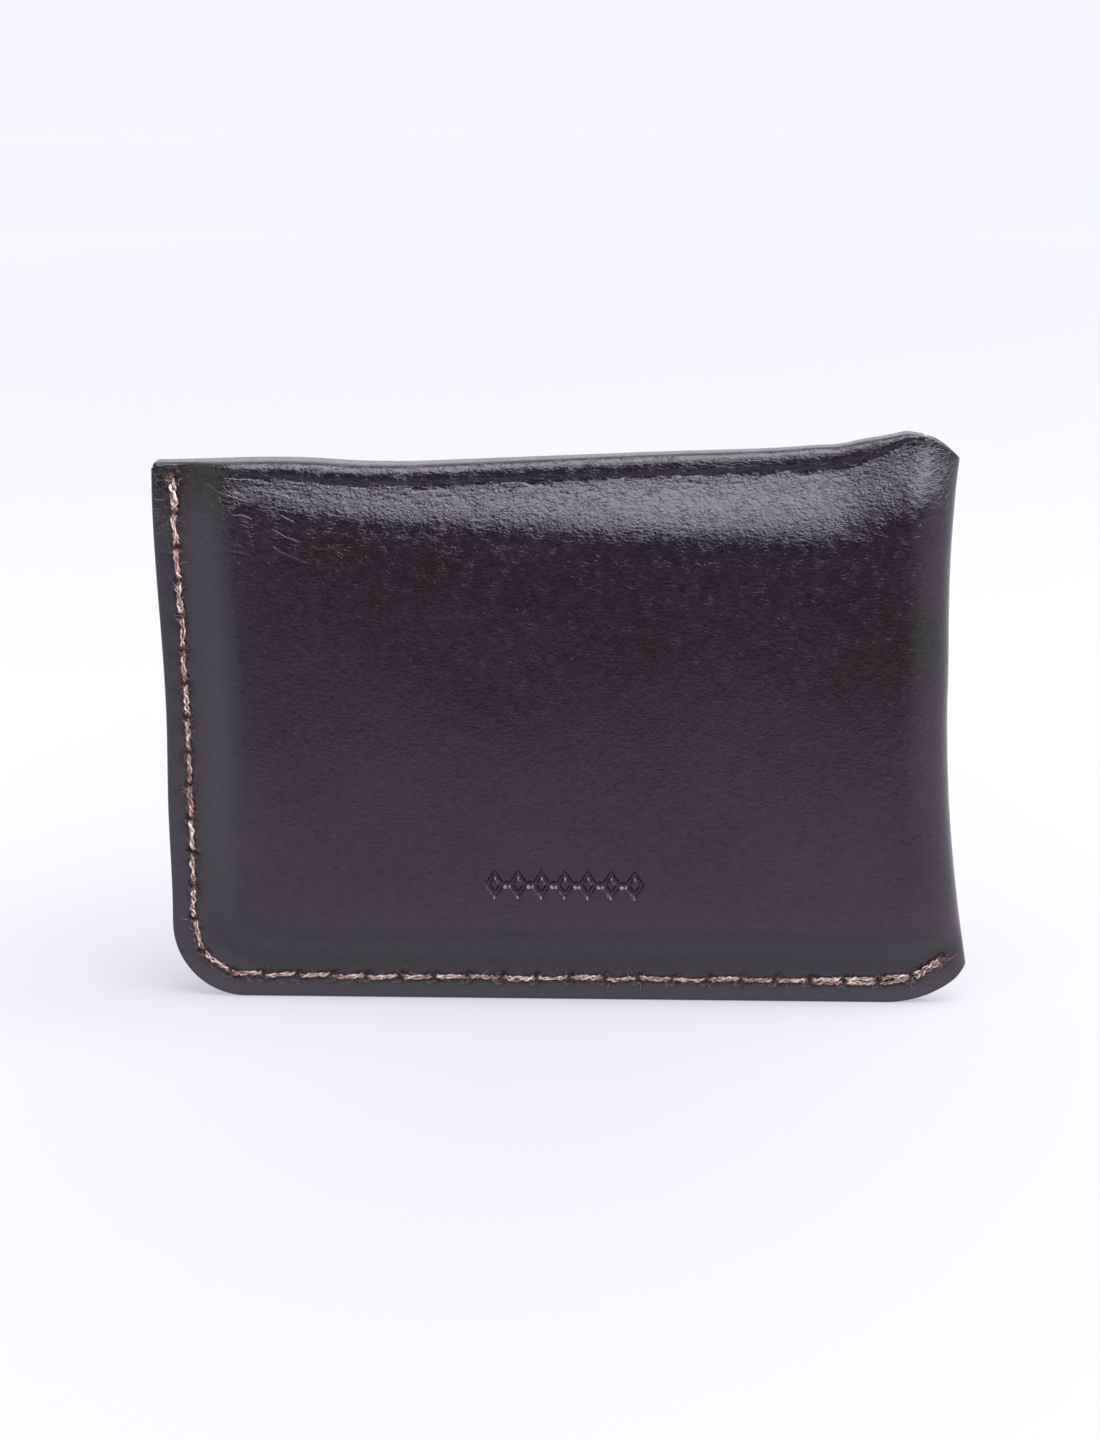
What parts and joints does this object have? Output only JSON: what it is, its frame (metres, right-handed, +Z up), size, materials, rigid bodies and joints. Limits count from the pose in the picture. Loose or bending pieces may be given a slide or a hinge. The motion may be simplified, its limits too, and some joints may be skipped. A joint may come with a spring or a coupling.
{
  "type": "business card case",
  "caption": "Leather business card case: a pocket with one rounded side fold, sewn along the other side and the bottom, closed by a flap over the top with a snap.",
  "frame": {"origin": "middle of the bottom of the object's box, where the bottom edge stands on the table", "axes": "+Z up, +X along the width towards the side fold, -Y out of the back panel, +Y out of the flap"},
  "size_m": [0.1086, 0.0168, 0.0729],
  "materials": {
    "leather": "glossy",
    "thread": "waxed",
    "snap_metal": "antique"
  },
  "bodies": {
    "case": {"back_panel": "leather", "side_fold": "leather", "front_panel": "leather", "seam_thread": "thread", "snap_stud": "snap_metal", "snap_post": "snap_metal"},
    "spine": {"flap_spine": "leather"},
    "flap": {"flap": "leather", "snap_cap": "snap_metal", "snap_socket": "snap_metal"}
  },
  "joints": [
    {"name": "spine_fold", "type": "hinge", "parent": "case", "child": "spine", "pos_m": [0, -0.00425, 0.0713], "axis": [1, 0, 0], "range_deg": [0, 95]},
    {"name": "flap_fold", "type": "hinge", "parent": "spine", "child": "flap", "pos_m": [0, 0.00355, 0.0713], "axis": [1, 0, 0], "range_deg": [0, 95]}
  ],
  "couplings": [
    {"joint": "flap_fold", "follows": "spine_fold", "ratio": 1}
  ]
}
